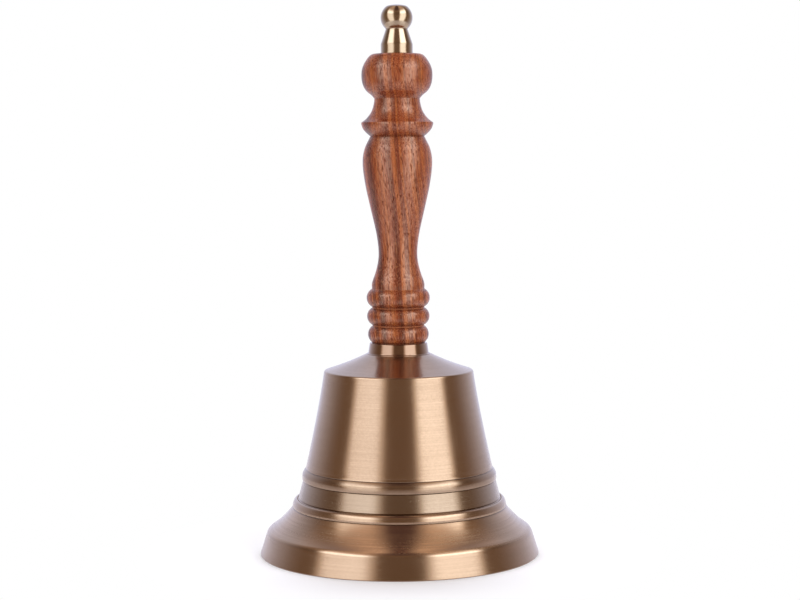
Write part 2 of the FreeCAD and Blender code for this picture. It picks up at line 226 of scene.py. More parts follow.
FERRULE = [
    (3.4, 93.6), (14.75, 93.6), (14.75, 93.82),
    ("arc", (14.20, 94.06), (13.98, 94.75), 6),
    (13.46, 98.20),
    ("arc", (13.32, 98.63), (12.98, 98.80), 6),
    (9.55, 98.8), (9.55, 95.4), (3.4, 95.4),
]
HANDLE = [
    (3.4, 95.6), (9.5, 95.6), (9.5, 98.8), (12.35, 98.8), (12.45, 99.15),
    ("arc", (14.12, 102.9), (12.15, 106.65), 16),
    (11.95, 106.95), (12.2, 107.25),
    ("arc", (14.52, 111.05), (12.25, 115.05), 16),
    (12.05, 115.35), (12.3, 115.65),
    ("arc", (14.68, 119.75), (12.45, 123.75), 16),
    (12.2, 124.05), (12.24, 125.0),
    ("spline", [(12.27, 125.7), (11.93, 127.35), (11.42, 128.9), (10.92, 130.2), (10.42, 131.75),
                (9.72, 134.35), (9.22, 136.9), (8.98, 140.0), (9.10, 143.2), (9.45, 146.3),
                (9.98, 149.75), (10.85, 153.9), (11.84, 158.1), (13.10, 163.6), (14.36, 169.2),
                (15.24, 174.0), (15.80, 177.9), (16.10, 181.6), (16.06, 184.3), (15.60, 187.25),
                (14.72, 190.1), (13.42, 192.7), (12.75, 194.1)], 4),
    (12.45, 194.55),
    ("spline", [(13.50, 195.45), (15.05, 196.95), (16.05, 198.4), (16.52, 199.75)], 5),
    (16.68, 200.3), (16.62, 200.95),
    ("spline", [(14.55, 202.45), (13.30, 203.85), (12.33, 205.2), (11.15, 208.0), (10.60, 210.5)], 5),
    (10.50, 211.9),
    ("spline", [(11.85, 213.5), (13.55, 214.85), (14.74, 216.2), (15.98, 219.0), (16.41, 222.3),
                (16.00, 225.9), (14.80, 228.6), (13.05, 231.05), (12.10, 231.9), (11.15, 232.35)], 5),
    (3.4, 232.35),
]
FINIAL = [
    (3.0, 232.35), (7.35, 232.35), (7.48, 232.65), (7.40, 233.25), (7.40, 236.3),
    ("arc", (7.34, 236.95), (7.15, 237.6), 5),
    (5.24, 243.25),
    ("arc", (5.13, 243.75), (5.26, 244.05), 5),
    ("arc", (7.40, 248.95), (5.72, 253.35), 26),
    ("arc", (4.85, 254.17), (3.75, 254.6), 6),
    ("arc", (1.9, 254.936), (0.0, 255.05), 6),
    (0.0, 248.2), (3.0, 247.0),
]

bell = lathe("bell", profile(BELL), 288, sharp_deg=13.0)
ferrule = lathe("ferrule_ring", profile(FERRULE), 192)
handle = lathe("turned_handle", profile(HANDLE), 192)
finial = lathe("finial_nut", profile(FINIAL), 160)
for ob, node in ((bell, "bell_shell"), (ferrule, "ferrule"), (handle, "handle"), (finial, "finial")):
    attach(ob, "bell")
    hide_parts(node)

# ------------------------------------------------------------------ material helpers


class Mat:
    def __init__(self, name):
        self.m = bpy.data.materials.new(name)
        self.m.use_nodes = True
        self.t = self.m.node_tree
        self.t.nodes.clear()
        self.out = self.t.nodes.new("ShaderNodeOutputMaterial")
        self.b = self.t.nodes.new("ShaderNodeBsdfPrincipled")
        self.t.links.new(self.b.outputs[0], self.out.inputs[0])

    def n(self, kind, **kw):
        nd = self.t.nodes.new("ShaderNode" + kind)
        for k, v in kw.items():
            if k.startswith("i_"):
                nd.inputs[k[2:].replace("_", " ")].default_value = v
            else:
                setattr(nd, k, v)
        return nd

    def link(self, a, b):
        self.t.links.new(a, b)

    def put(self, sock, v):
        if hasattr(v, "default_value") or hasattr(v, "links"):
            self.link(v, sock)
        else:
            sock.default_value = v

    def math(self, op, a, b=None, c=None, clamp=False):
        nd = self.n("Math", operation=op, use_clamp=clamp)
        self.put(nd.inputs[0], a)
        if b is not None:
            self.put(nd.inputs[1], b)
        if c is not None:
            self.put(nd.inputs[2], c)
        return nd.outputs[0]

    def mix(self, f, a, b, mode="MIX"):
        nd = self.n("Mix", data_type="RGBA", blend_type=mode)
        self.put(nd.inputs[0], f)
        for s, v in ((nd.inputs[6], a), (nd.inputs[7], b)):
            if isinstance(v, tuple):
                s.default_value = (*v[:3], 1.0)
            else:
                self.link(v, s)
        return nd.outputs[2]

    def ramp(self, f, stops, mode="LINEAR"):
        nd = self.n("ValToRGB")
        cr = nd.color_ramp
        cr.interpolation = mode
        while len(cr.elements) > 1:
            cr.elements.remove(cr.elements[0])
        for i, (p, c) in enumerate(stops):
            e = cr.elements[0] if i == 0 else cr.elements.new(p)
            e.position = p
            e.color = (*c, 1.0) if isinstance(c, tuple) else (c, c, c, 1.0)
        self.link(f, nd.inputs[0])
        return nd.outputs[0]

    def noise(self, vec, scale, detail=2.0, rough=0.5, dist=0.0, dims="3D", w=None):
        nd = self.n("TexNoise", noise_dimensions=dims)
        if vec is not None:
            self.link(vec, nd.inputs["Vector"])
        if w is not None:
            self.put(nd.inputs["W"], w)
        nd.inputs["Scale"].default_value = scale
        nd.inputs["Detail"].default_value = detail
        nd.inputs["Roughness"].default_value = rough
        nd.inputs["Distortion"].default_value = dist
        return nd.outputs["Fac"]

    def coords(self, scale=(1, 1, 1), rot=(0, 0, 0), loc=(0, 0, 0)):
        tc = self.n("TexCoord")
        mp = self.n("Mapping")
        mp.inputs["Scale"].default_value = scale
        mp.inputs["Rotation"].default_value = rot
        mp.inputs["Location"].default_value = loc
        self.link(tc.outputs["Object"], mp.inputs["Vector"])
        return mp.outputs[0]

    def xyz(self, vec):
        nd = self.n("SeparateXYZ")
        self.link(vec, nd.inputs[0])
        return nd.outputs

    def vec(self, x, y, z):
        nd = self.n("CombineXYZ")
        for s, v in zip(nd.inputs, (x, y, z)):
            self.put(s, v)
        return nd.outputs[0]

    def bump(self, h, strength, dist, normal=None):
        nd = self.n("Bump")
        nd.inputs["Strength"].default_value = strength
        nd.inputs["Distance"].default_value = dist
        self.link(h, nd.inputs["Height"])
        if normal is not None:
            self.link(normal, nd.inputs["Normal"])
        return nd.outputs[0]


def srgb(r, g, b):
    return tuple(((v / 255 + 0.055) / 1.055) ** 2.4 if v > 10 else v / 255 / 12.92 for v in (r, g, b))


def lathe_coords(M):
    """Angle round the axis (turns), radius (m) and height (m) of the shaded point."""
    p = M.xyz(M.coords())
    ang = M.math("ARCTAN2", p[1], p[0])
    r = M.math("SQRT", M.math("ADD", M.math("MULTIPLY", p[0], p[0]), M.math("MULTIPLY", p[1], p[1])))
    return p, ang, r, p[2]


def turned_metal(name, base, dark, rough, aniso, lines, patina, coat=0.5, coat_rough=0.2, wash=0.0, cuts=(), painted_belts=(), streaks=None):
    """Lathe-finished metal: fine rings round the axis, uneven tarnish, a lacquer coat."""
    M = Mat(name)
    p, ang, r, z = lathe_coords(M)
    # distance along the profile, near enough: z on walls, r on flats
    s = M.math("SUBTRACT", z, M.math("MULTIPLY", r, 0.7))
    ca, sa = M.math("COSINE", ang), M.math("SINE", ang)
    fine = M.noise(M.vec(M.math("MULTIPLY", ca, 0.9), M.math("MULTIPLY", sa, 0.9), M.math("MULTIPLY", s, 2600.0)), 1.0, 3.0, 0.6)
    mid = M.noise(M.vec(M.math("MULTIPLY", ca, 0.6), M.math("MULTIPLY", sa, 0.6), M.math("MULTIPLY", s, 700.0)), 1.0, 2.0, 0.5)
    cloud = M.noise(M.coords((1, 1, 1)), 38.0, 4.0, 0.55)
    speck = M.noise(M.coords((1, 1, 1)), 900.0, 2.0, 0.5)

    def ring(zc, half, inner, hold):
        nd = M.n("MapRange", interpolation_type="SMOOTHSTEP")
        M.link(M.math("ABSOLUTE", M.math("SUBTRACT", z, zc)), nd.inputs[0])
        for i, v in ((1, half * inner), (2, half), (3, hold), (4, 0.0)):
            nd.inputs[i].default_value = v
        return nd.outputs[0]

    coarse = 0.24 * lines
    if streaks:
        coarse = M.math("ADD", ring(streaks[0], streaks[1], 0.7, streaks[2] * lines), coarse)
    tone = M.math("ADD", M.math("MULTIPLY", M.math("SUBTRACT", fine, 0.5), 0.55 * lines),
                  M.math("MULTIPLY", M.math("SUBTRACT", mid, 0.5), coarse))
    tone = M.math("ADD", tone, M.math("MULTIPLY", M.math("SUBTRACT", cloud, 0.5), 0.5 * patina))
    tone = M.math("ADD", tone, M.math("MULTIPLY", M.math("SUBTRACT", speck, 0.5), 0.40 * patina))
    f = M.math("ADD", tone, 0.35, clamp=True)
    col = M.mix(f, base, dark)
    # painted shade: the base colour goes dark brown where ambient occlusion finds grooves and corners
    if wash:
        ao = M.n("AmbientOcclusion", samples=6, only_local=True)
        ao.inputs["Distance"].default_value = 0.0016
        painted_shade_mask = M.ramp(ao.outputs["AO"], [(0.0, 1.0), (0.45, 0.85), (0.85, 0.0), (1.0, 0.0)])
        # the finest cuts get a painted dark line right across
        for zc, half, hold in cuts:
            painted_shade_mask = M.math("MAXIMUM", painted_shade_mask, ring(zc, half, 0.5, hold))
        col = M.mix(M.math("MULTIPLY", painted_shade_mask, wash), col, (0.10, 0.055, 0.035))
    # painted light and shade in belts: the band and the upper bead are darkened, the band also greyed, and the flare
    # lightened
    for zc, half, tint, more in painted_belts:
        col = M.mix(ring(zc, half, 0.85, 1.0), col, tint, "MULTIPLY")
    M.link(col, M.b.inputs["Base Color"])
    M.b.inputs["Metallic"].default_value = 1.0
    rr = M.math("ADD", M.math("MULTIPLY", tone, 0.25), rough, clamp=True)
    for zc, half, tint, more in painted_belts:
        rr = M.math("ADD", rr, ring(zc, half, 0.85, more))
    M.link(rr, M.b.inputs["Roughness"])
    M.b.inputs["Anisotropic"].default_value = aniso
    tg = M.n("Tangent", direction_type="RADIAL", axis="Z")
    M.link(tg.outputs[0], M.b.inputs["Tangent"])
    M.b.inputs["Anisotropic Rotation"].default_value = 0.25
    h = M.math("ADD", M.math("MULTIPLY", fine, 0.7), M.math("MULTIPLY", mid, 0.35))
    nb = M.bump(h, 0.35, 0.00002 * lines)
    M.link(nb, M.b.inputs["Normal"])
    M.b.inputs["Coat Weight"].default_value = coat
    M.b.inputs["Coat Roughness"].default_value = coat_rough
    M.b.inputs["Coat IOR"].default_value = 1.5
    return M.m


def wood(name):
    """Striped rosewood under a satin varnish, cut from a solid block: growth layers, figure, pores."""
    M = Mat(name)
    tilt = (math.radians(-2.0), math.radians(4.5), math.radians(20.0))
    q = M.coords((1, 1, 1), tilt)
    x, y, z = M.xyz(q)
    # slow wander of the layers along the length
    wob = M.noise(M.vec(M.math("MULTIPLY", x, 26.0), M.math("MULTIPLY", y, 26.0), M.math("MULTIPLY", z, 10.0)), 1.0, 2.0, 0.5)
    wob2 = M.noise(M.vec(M.math("MULTIPLY", x, 120.0), M.math("MULTIPLY", y, 120.0), M.math("MULTIPLY", z, 26.0)), 1.0, 2.0, 0.5)
    dx = M.math("ADD", x, 0.052)
    dy = M.math("ADD", y, 0.021)
    d = M.math("SQRT", M.math("ADD", M.math("MULTIPLY", dx, dx), M.math("MULTIPLY", dy, dy)))
    d = M.math("ADD", d, M.math("MULTIPLY", M.math("SUBTRACT", wob, 0.5), 0.0075))
    d = M.math("ADD", d, M.math("MULTIPLY", M.math("SUBTRACT", wob2, 0.5), 0.0016))
    bands = M.noise(None, 1.0, 3.0, 0.6, dims="1D", w=M.math("MULTIPLY", d, 250.0))
    veins = M.noise(None, 1.0, 1.0, 0.4, dims="1D", w=M.math("MULTIPLY", d, 620.0))
    veins = M.ramp(veins, [(0.0, 1.0), (0.30, 0.9), (0.38, 0.0), (1.0, 0.0)])
    broad = M.noise(M.vec(M.math("MULTIPLY", x, 60.0), M.math("MULTIPLY", y, 60.0), M.math("MULTIPLY", z, 12.0)), 1.0, 2.0, 0.5)
    base = M.ramp(bands, [(0.27, srgb(80, 34, 25)), (0.38, srgb(124, 60, 38)), (0.48, srgb(156, 82, 48)),
                          (0.60, srgb(194, 117, 62)), (0.76, srgb(142, 72, 43))])
    base = M.mix(M.math("MULTIPLY", M.math("SUBTRACT", broad, 0.35, clamp=True), 0.9), base, srgb(150, 72, 43))
    base = M.mix(M.math("MULTIPLY", veins, 0.6), base, srgb(88, 40, 28))
    # fibres and pores run along the block's length
    fib = M.noise(M.vec(M.math("MULTIPLY", x, 2300.0), M.math("MULTIPLY", y, 2300.0), M.math("MULTIPLY", z, 100.0)), 1.0, 3.0, 0.65)
    por = M.noise(M.vec(M.math("MULTIPLY", x, 1700.0), M.math("MULTIPLY", y, 1700.0), M.math("MULTIPLY", z, 280.0)), 1.0, 1.0, 0.5)
    pore = M.ramp(por, [(0.0, 1.0), (0.33, 1.0), (0.42, 0.0), (1.0, 0.0)])
    dark_fib = M.ramp(fib, [(0.0, 1.0), (0.36, 0.8), (0.50, 0.0), (1.0, 0.0)])
    pale_fib = M.ramp(fib, [(0.0, 0.0), (0.54, 0.0), (0.70, 1.0), (1.0, 1.0)])
    base = M.mix(M.math("MULTIPLY", dark_fib, 0.42), base, srgb(106, 52, 35))
    base = M.mix(M.math("MULTIPLY", pale_fib, 0.42), base, srgb(212, 144, 86))
    base = M.mix(M.math("MULTIPLY", pore, 0.6), base, srgb(80, 34, 24))
    # painted shade in the turned grooves and next to the ferrule and finial, together with varnish and polish built up
    # dark in the grooves
    ao = M.n("AmbientOcclusion", samples=6)
    ao.inputs["Distance"].default_value = 0.0055
    painted_shade_mask = M.ramp(ao.outputs["AO"], [(0.0, 1.0), (0.30, 0.95), (0.62, 0.5), (0.96, 0.0), (1.0, 0.0)])
    base = M.mix(M.math("MULTIPLY", painted_shade_mask, 0.92), base, srgb(62, 22, 15))
    # and a painted highlight: a pale line along each groove's lower corner, where the small fillet catches light
    tz = M.xyz(M.coords())[2]
    for zg, pale in ((0.10685, 0.6), (0.11525, 0.5), (0.12395, 0.15)):
        near = M.math("ABSOLUTE", M.math("SUBTRACT", tz, zg))
        painted_glint = M.n("MapRange", interpolation_type="SMOOTHSTEP")
        M.link(near, painted_glint.inputs[0])
        for i, v in ((1, 0.00016), (2, 0.00034), (3, pale), (4, 0.0)):
            painted_glint.inputs[i].default_value = v
        base = M.mix(painted_glint.outputs[0], base, srgb(214, 150, 112))
    base = M.mix(1.0, base, (0.93, 0.80, 0.70), "MULTIPLY")
    M.link(base, M.b.inputs["Base Color"])
    rr = M.math("ADD", M.math("MULTIPLY", M.math("SUBTRACT", fib, 0.5), 0.22), 0.27, clamp=True)
    M.link(rr, M.b.inputs["Roughness"])
    M.b.inputs["IOR"].default_value = 2.15
    # open pores and sunk fibres hold no shine
    shine = M.math("MULTIPLY", M.math("SUBTRACT", 1.0, M.math("MULTIPLY", pore, 0.85)),
                   M.math("SUBTRACT", 1.0, M.math("MULTIPLY", dark_fib, 0.50)))
    shine = M.math("MULTIPLY", shine, M.math("ADD", 0.50, M.math("MULTIPLY", pale_fib, 0.26)))
    M.link(shine, M.b.inputs["Specular IOR Level"])
    M.b.inputs["Specular Tint"].default_value = (1.0, 0.74, 0.56, 1)
    h = M.math("SUBTRACT", M.math("MULTIPLY", fib, 0.25), M.math("MULTIPLY", pore, 0.8))
    nb = M.bump(h, 0.5, 0.00006)
    M.link(nb, M.b.inputs["Normal"])
    return M.m


# painted shade in the grooves, with two painted dark lines at the cuts
brass_bell = turned_metal("brushed_antique_brass", (0.52, 0.372, 0.25), (0.37, 0.25, 0.155), 0.205, 0.58, 1.3, 1.1, 0.6, 0.18, 0.8,
                          cuts=((0.04002, 0.00028, 0.6), (0.02220, 0.00026, 0.7)),
                          # painted belts: darker over the band and the upper bead, lighter over the flare
                          painted_belts=((0.03060, 0.0044, (0.83, 0.88, 0.92), 0.02), (0.03740, 0.0028, (0.85, 0.85, 0.85), 0.0),
                                (0.01650, 0.0058, (1.17, 1.16, 1.13), 0.0)),
                          streaks=(0.0150, 0.0075, 0.80))
# painted shade in the grooves of the ferrule and the finial too
brass_ferrule = turned_metal("polished_antique_brass", (0.42, 0.275, 0.18), (0.29, 0.165, 0.10), 0.13, 0.5, 0.5, 0.5, 0.8, 0.1, 0.85)
brass_bright = turned_metal("polished_yellow_brass", (0.54, 0.425, 0.285), (0.40, 0.29, 0.18), 0.17, 0.6, 0.5, 0.5, 1.0, 0.1, 0.5)
wood_mat = wood("striped_rosewood")


def edges(M, radius):
    """A normal rounded over the edges, and how near the shaded point is to an edge (0 to 1)."""
    soft = M.n("Bevel", samples=6)
    soft.inputs["Radius"].default_value = radius
    true = M.n("NewGeometry")
    dot = M.n("VectorMath", operation="DOT_PRODUCT")
    M.link(soft.outputs[0], dot.inputs[0])
    M.link(true.outputs["True Normal"], dot.inputs[1])
    worn = M.ramp(M.math("SUBTRACT", 1.0, dot.outputs["Value"], clamp=True), [(0.0, 0.0), (0.03, 0.0), (0.16, 1.0), (1.0, 1.0)])
    return soft.outputs[0], worn


def plated_steel(name, grain, tint=(0.60, 0.55, 0.43)):
    """Zinc-plated steel: drawn or rolled grain, a faint spangle and yellow cast, edges rubbed bright."""
    M = Mat(name)
    nrm, worn = edges(M, 0.00035)
    lines = M.noise(M.coords(grain), 1.0, 3.0, 0.6)
    spangle = M.noise(M.coords(), 420.0, 3.0, 0.6)
    cast = M.noise(M.coords(), 150.0, 2.0, 0.5)
    col = M.mix(spangle, (0.36, 0.36, 0.38), (0.66, 0.66, 0.69))
    col = M.mix(M.ramp(cast, [(0.0, 0.0), (0.48, 0.0), (0.66, 0.7), (1.0, 0.7)]), col, tint)
    col = M.mix(M.math("MULTIPLY", M.ramp(lines, [(0.0, 1.0), (0.42, 0.6), (0.56, 0.0), (1.0, 0.0)]), 0.5), col, (0.24, 0.24, 0.25))
    col = M.mix(M.math("MULTIPLY", worn, 0.8), col, (0.78, 0.78, 0.80))
    M.link(col, M.b.inputs["Base Color"])
    M.b.inputs["Metallic"].default_value = 1.0
    M.link(M.math("ADD", M.math("MULTIPLY", lines, 0.22), 0.22), M.b.inputs["Roughness"])
    M.link(M.bump(M.math("ADD", lines, M.math("MULTIPLY", spangle, 0.5)), 0.35, 0.00002, nrm), M.b.inputs["Normal"])
    return M.m


def turned_iron(name):
    """A turned cast-iron ball: tool rings, open pits with rust in them, polished where it strikes."""
    M = Mat(name)
    p, ang, r, z = lathe_coords(M)
    ca, sa = M.math("COSINE", ang), M.math("SINE", ang)
    rings = M.noise(M.vec(M.math("MULTIPLY", ca, 0.7), M.math("MULTIPLY", sa, 0.7), M.math("MULTIPLY", z, 1500.0)), 1.0, 3.0, 0.6)
    cloud = M.noise(M.coords(), 170.0, 4.0, 0.6)
    pits = M.n("TexVoronoi", feature="F1")
    M.link(M.coords(), pits.inputs["Vector"])
    pits.inputs["Scale"].default_value = 900.0
    pit = M.math("MULTIPLY", M.ramp(pits.outputs["Distance"], [(0.0, 1.0), (0.16, 0.9), (0.30, 0.0), (1.0, 0.0)]),
                 M.ramp(M.noise(M.coords(), 320.0, 2.0, 0.5), [(0.0, 0.0), (0.48, 0.0), (0.60, 1.0), (1.0, 1.0)]))
    col = M.mix(cloud, (0.13, 0.125, 0.12), (0.30, 0.29, 0.28))
    col = M.mix(M.math("MULTIPLY", rings, 0.45), col, (0.40, 0.39, 0.38))
    strike = M.ramp(M.math("MULTIPLY", M.math("ABSOLUTE", M.math("SUBTRACT", z, 0.0175)), 100.0),
                    [(0.0, 1.0), (0.22, 0.8), (0.48, 0.0), (1.0, 0.0)])
    strike = M.math("MULTIPLY", strike, M.ramp(M.noise(M.coords(), 260.0, 2.0, 0.5), [(0.0, 0.0), (0.36, 0.0), (0.56, 1.0), (1.0, 1.0)]))
    col = M.mix(M.math("MULTIPLY", strike, 0.6), col, (0.56, 0.54, 0.52))
    col = M.mix(M.math("MULTIPLY", pit, 0.9), col, (0.16, 0.075, 0.035))
    M.link(col, M.b.inputs["Base Color"])
    M.link(M.math("SUBTRACT", 1.0, M.math("MULTIPLY", pit, 0.8)), M.b.inputs["Metallic"])
    rr = M.math("SUBTRACT", M.math("ADD", M.math("MULTIPLY", cloud, 0.25), 0.33), M.math("MULTIPLY", strike, 0.14), clamp=True)
    M.link(M.math("ADD", rr, M.math("MULTIPLY", pit, 0.35), clamp=True), M.b.inputs["Roughness"])
    M.link(M.bump(M.math("SUBTRACT", M.math("MULTIPLY", rings, 0.5), pit), 0.5, 0.00005), M.b.inputs["Normal"])
    return M.m


def leather(name):
    """Vegetable-tanned leather washer: pebbled grain, creases, dark burnished edge."""
    M = Mat(name)
    nrm, worn = edges(M, 0.0004)
    cells = M.n("TexVoronoi", feature="DISTANCE_TO_EDGE")
    M.link(M.coords(), cells.inputs["Vector"])
    cells.inputs["Scale"].default_value = 1100.0
    seam = M.ramp(cells.outputs["Distance"], [(0.0, 0.0), (0.10, 0.7), (0.30, 1.0), (1.0, 1.0)])
    cloud = M.noise(M.coords(), 160.0, 4.0, 0.6)
    col = M.mix(cloud, srgb(92, 54, 34), srgb(150, 98, 62))
    col = M.mix(M.math("MULTIPLY", M.math("SUBTRACT", 1.0, seam), 0.6), col, srgb(58, 32, 20))
    col = M.mix(M.math("MULTIPLY", worn, 0.7), col, srgb(70, 40, 26))
    M.link(col, M.b.inputs["Base Color"])
    M.link(M.math("ADD", M.math("MULTIPLY", cloud, 0.2), 0.48), M.b.inputs["Roughness"])
    M.link(M.bump(M.math("ADD", seam, M.math("MULTIPLY", cloud, 0.6)), 0.5, 0.00012, nrm), M.b.inputs["Normal"])
    return M.m


def raw_brass(name):
    """The inside of the bell: rough-turned and left to tarnish."""
    M = Mat(name)
    p, ang, r, z = lathe_coords(M)
    ca, sa = M.math("COSINE", ang), M.math("SINE", ang)
    s = M.math("SUBTRACT", z, M.math("MULTIPLY", r, 0.6))
    tool = M.noise(M.vec(M.math("MULTIPLY", ca, 0.5), M.math("MULTIPLY", sa, 0.5), M.math("MULTIPLY", s, 1300.0)), 1.0, 2.0, 0.6)
    cloud = M.noise(M.coords(), 46.0, 5.0, 0.6)
    grit = M.noise(M.coords(), 1100.0, 3.0, 0.6)
    col = M.mix(cloud, (0.46, 0.31, 0.17), (0.26, 0.165, 0.095))
    col = M.mix(M.math("MULTIPLY", tool, 0.5), col, (0.52, 0.38, 0.22))
    col = M.mix(M.ramp(grit, [(0.0, 0.4), (0.34, 0.26), (0.47, 0.0), (1.0, 0.0)]), col, (0.16, 0.10, 0.06))
    M.link(col, M.b.inputs["Base Color"])
    M.b.inputs["Metallic"].default_value = 1.0
    M.link(M.math("ADD", M.math("MULTIPLY", cloud, 0.22), 0.34), M.b.inputs["Roughness"])
    M.link(M.bump(M.math("ADD", tool, M.math("MULTIPLY", grit, 0.4)), 0.5, 0.00006), M.b.inputs["Normal"])
    return M.m


rolled = plated_steel("zinc_plated_steel_strip", (260.0, 2600.0, 260.0))
drawn = plated_steel("zinc_plated_steel_rod", (2200.0, 2200.0, 120.0))
bright = plated_steel("zinc_plated_fastener", (900.0, 900.0, 900.0), (0.62, 0.59, 0.48))
iron = turned_iron("turned_cast_iron")
hide = leather("tan_leather")
inside = raw_brass("rough_turned_brass")

bell.data.materials.append(brass_bell)
bell.data.materials.append(inside)
for face in bell.data.polygons:
    c = face.center
    away = face.normal.x * c.x + face.normal.y * c.y
    if c.z > 0.0008 and away < 0 and math.hypot(c.x, c.y) > 0.0036:
        face.material_index = 1
    elif c.z < 0.0895 and face.normal.z < -0.5 and math.hypot(c.x, c.y) < 0.034:
        face.material_index = 1
ferrule.data.materials.append(brass_ferrule)
finial.data.materials.append(brass_bright)
handle.data.materials.append(wood_mat)

# ------------------------------------------------------------------ pieces inside the mouth
BALL_R, BALL_Z, FLAT_R = 12.5, 17.5, 4.6
flat_z = BALL_Z + math.sqrt(BALL_R ** 2 - FLAT_R ** 2)
ball = lathe("striking_ball", profile([
    (0.0, BALL_Z - BALL_R),
    ("arc", (BALL_R * math.sin(0.8), BALL_Z - BALL_R * math.cos(0.8)), (BALL_R, BALL_Z), 28),
    ("arc", (BALL_R * math.cos(0.6), BALL_Z + BALL_R * math.sin(0.6)), (FLAT_R + 0.25, flat_z - 0.1), 22),
    ("arc", (FLAT_R + 0.1, flat_z - 0.03), (FLAT_R - 0.1, flat_z), 3),
    (2.9, flat_z), (2.52, flat_z - 0.4), (2.52, 19.6), (0.0, 18.4),
]), 128)
gasket = lathe("leather_washer", profile([
    (3.2, 87.9), (3.3, 87.8), (10.35, 87.8),
    ("arc", (10.86, 88.03), (11.0, 88.6), 6), ("arc", (10.86, 89.17), (10.35, 89.4), 6),
    (3.3, 89.4), (3.2, 89.3),
]), 128)
washer = lathe("plain_washer", profile([
    (3.2, 86.35), (3.35, 86.2), (8.6, 86.2), ("arc", (8.88, 86.3), (9.0, 86.6), 5),
    (9.0, 87.65), (8.9, 87.8), (3.35, 87.8), (3.2, 87.65),
]), 128)
glide = lathe("thrust_ring", profile([
    (3.1, 76.7), (3.2, 76.6), (5.05, 76.6), ("arc", (5.2, 76.66), (5.25, 76.8), 4),
    (5.25, 77.2), ("arc", (5.2, 77.34), (5.05, 77.4), 4), (3.2, 77.4), (3.1, 77.3),
]), 96)
for ob, node, body, s, mat in (
    (ball, "clapper_ball", "clapper", "clapper_iron", iron),
    (gasket, "crown_gasket", "bell", "gasket_leather", hide),
    (washer, "flat_washer", "bell", "bright_steel", bright),
    (glide, "thrust_washer", "bell", "polished_brass", brass_bright),
):
    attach(ob, body)
    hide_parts(node)
    ob.data.materials.append(mat)
for node, mat in (
    ("through_bolt", bright), ("spring_washer", rolled), ("crown_nut", bright), ("clapper_yoke", rolled),
    ("yoke_pin", bright), ("pin_retaining_ring", rolled), ("clapper_shank", drawn), ("clapper_jam_nut", bright),
):
    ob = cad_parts[node]
    if not ob.material_slots:
        ob.data.materials.append(mat)
    for sl in ob.material_slots:
        sl.material = mat

# ------------------------------------------------------------------ floor, light, camera
bm = bmesh.new()
bmesh.ops.create_circle(bm, cap_ends=True, segments=96, radius=9.0)
me = bpy.data.meshes.new("floor")
bm.to_mesh(me)
bm.free()
floor = bpy.data.objects.new("floor", me)
bpy.context.scene.collection.objects.link(floor)
F = Mat("pale_floor")
F.b.inputs["Base Color"].default_value = (0.66, 0.645, 0.68, 1)
F.b.inputs["Roughness"].default_value = 0.16
F.b.inputs["IOR"].default_value = 2.0
# a glossy table top half a metre across; past its edge the lamps show down to the ground
fx, fy, fz = F.xyz(F.coords())
fr = F.math("SQRT", F.math("ADD", F.math("MULTIPLY", fx, fx), F.math("MULTIPLY", fy, fy)))
past = F.math("GREATER_THAN", fr, 0.50)
gone = F.n("BsdfTransparent")
table = F.n("MixShader")
F.link(past, table.inputs[0])
F.link(F.b.outputs[0], table.inputs[1])
F.link(gone.outputs[0], table.inputs[2])
# the camera sees one matt sweep exposed to white, with the contact shade left in
seen = F.n("BsdfPrincipled")
seen.inputs["Base Color"].default_value = (0.885, 0.925, 0.96, 1)
seen.inputs["Roughness"].default_value = 1.0
seen.inputs["Specular IOR Level"].default_value = 0.0
open_ = F.n("Emission")
open_.inputs[0].default_value = (1, 1, 1, 1)
clear = F.n("MapRange", interpolation_type="SMOOTHSTEP")
F.link(fr, clear.inputs[0])
for i, v in ((1, 0.076), (2, 0.125), (3, 0.0), (4, 1.0)):
    clear.inputs[i].default_value = v
sweep = F.n("MixShader")
F.link(clear.outputs[0], sweep.inputs[0])
F.link(seen.outputs[0], sweep.inputs[1])
F.link(open_.outputs[0], sweep.inputs[2])
fl = F.n("LightPath")
fm = F.n("MixShader")
F.link(fl.outputs["Is Camera Ray"], fm.inputs[0])
F.link(table.outputs[0], fm.inputs[1])
F.link(sweep.outputs[0], fm.inputs[2])
# clear from underneath and open below the mouth, so that the clapper can be looked at
side = F.n("NewGeometry")
under = F.n("MixShader")
F.link(F.math("MAXIMUM", side.outputs["Backfacing"], F.math("LESS_THAN", fr, 0.0649)), under.inputs[0])
F.link(fm.outputs[0], under.inputs[1])
F.link(gone.outputs[0], under.inputs[2])
F.link(under.outputs[0], F.out.inputs[0])
me.materials.append(F.m)

# one broad lamp over and behind the object, for the table top alone
lt = bpy.data.lights.new("table_lamp", "AREA")
lt.shape, lt.size, lt.size_y = "RECTANGLE", 1.3, 0.8
lt.energy = 15.0
lamp = bpy.data.objects.new("table_lamp", lt)
bpy.context.scene.collection.objects.link(lamp)
lamp.matrix_world = Matrix.Translation((0.0, 0.72, 1.25)) @ Matrix.Rotation(math.radians(-30), 4, "X")
lamp.visible_camera = False
lamp.visible_glossy = False
only = bpy.data.collections.new("table_only")
only.objects.link(floor)
lamp.light_linking.receiver_collection = only

W = bpy.data.worlds.new("studio")
bpy.context.scene.world = W
W.use_nodes = True
W.node_tree.nodes.clear()


class World(Mat):
    def __init__(self, w):
        self.t = w.node_tree


K = World(W)
tc = K.n("TexCoord")
wx, wy, wz = K.xyz(tc.outputs["Generated"])
# the two tall softboxes lean over the object, so the bands meet a little behind straight up
LEAN = math.radians(22)
ly = K.math("SUBTRACT", K.math("MULTIPLY", wy, math.cos(LEAN)), K.math("MULTIPLY", wz, math.sin(LEAN)))
az = K.math("MULTIPLY", K.math("ARCTAN2", wx, K.math("MULTIPLY", ly, -1.0)), 180 / math.pi)
f = K.math("DIVIDE", K.math("ADD", az, 180.0), 360.0)


def deg(a):
    return (a + 180.0) / 360.0


def bands(*pairs):
    return K.ramp(f, [(deg(a), v) for a, v in pairs])


